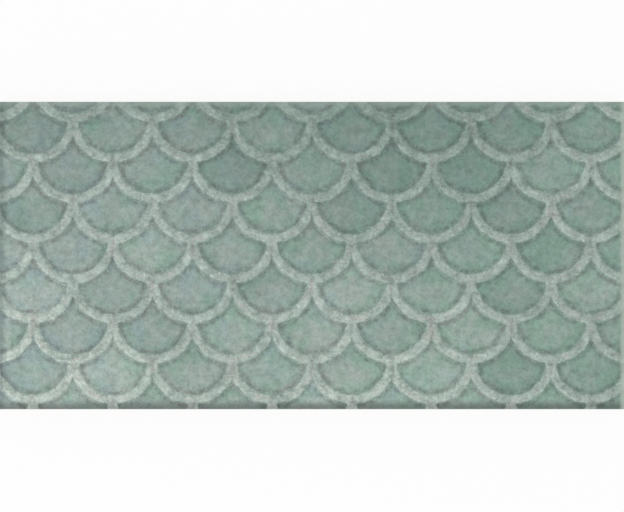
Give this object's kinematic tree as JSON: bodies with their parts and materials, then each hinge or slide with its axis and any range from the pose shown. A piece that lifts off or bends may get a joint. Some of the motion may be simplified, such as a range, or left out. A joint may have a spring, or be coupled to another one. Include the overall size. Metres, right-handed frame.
{
  "type": "ceramic wall tile",
  "caption": "Rectangular glazed ceramic wall tile in pale grey-green, its face covered with overlapping raised scallop ribs that run off every edge; keyed back.",
  "frame": {"origin": "middle of the back, on the plane of its keying lands", "axes": "+X along the tile's length, +Y up the wall, +Z out of the glazed face"},
  "size_m": [0.2, 0.0984, 0.008],
  "materials": {
    "glazed_body": "glossy grey-green glaze, pooled darker at the feet of the ribs and broken paler on them"
  },
  "bodies": {
    "root": {"scallop_tile": "glazed_body"}
  },
  "joints": []
}
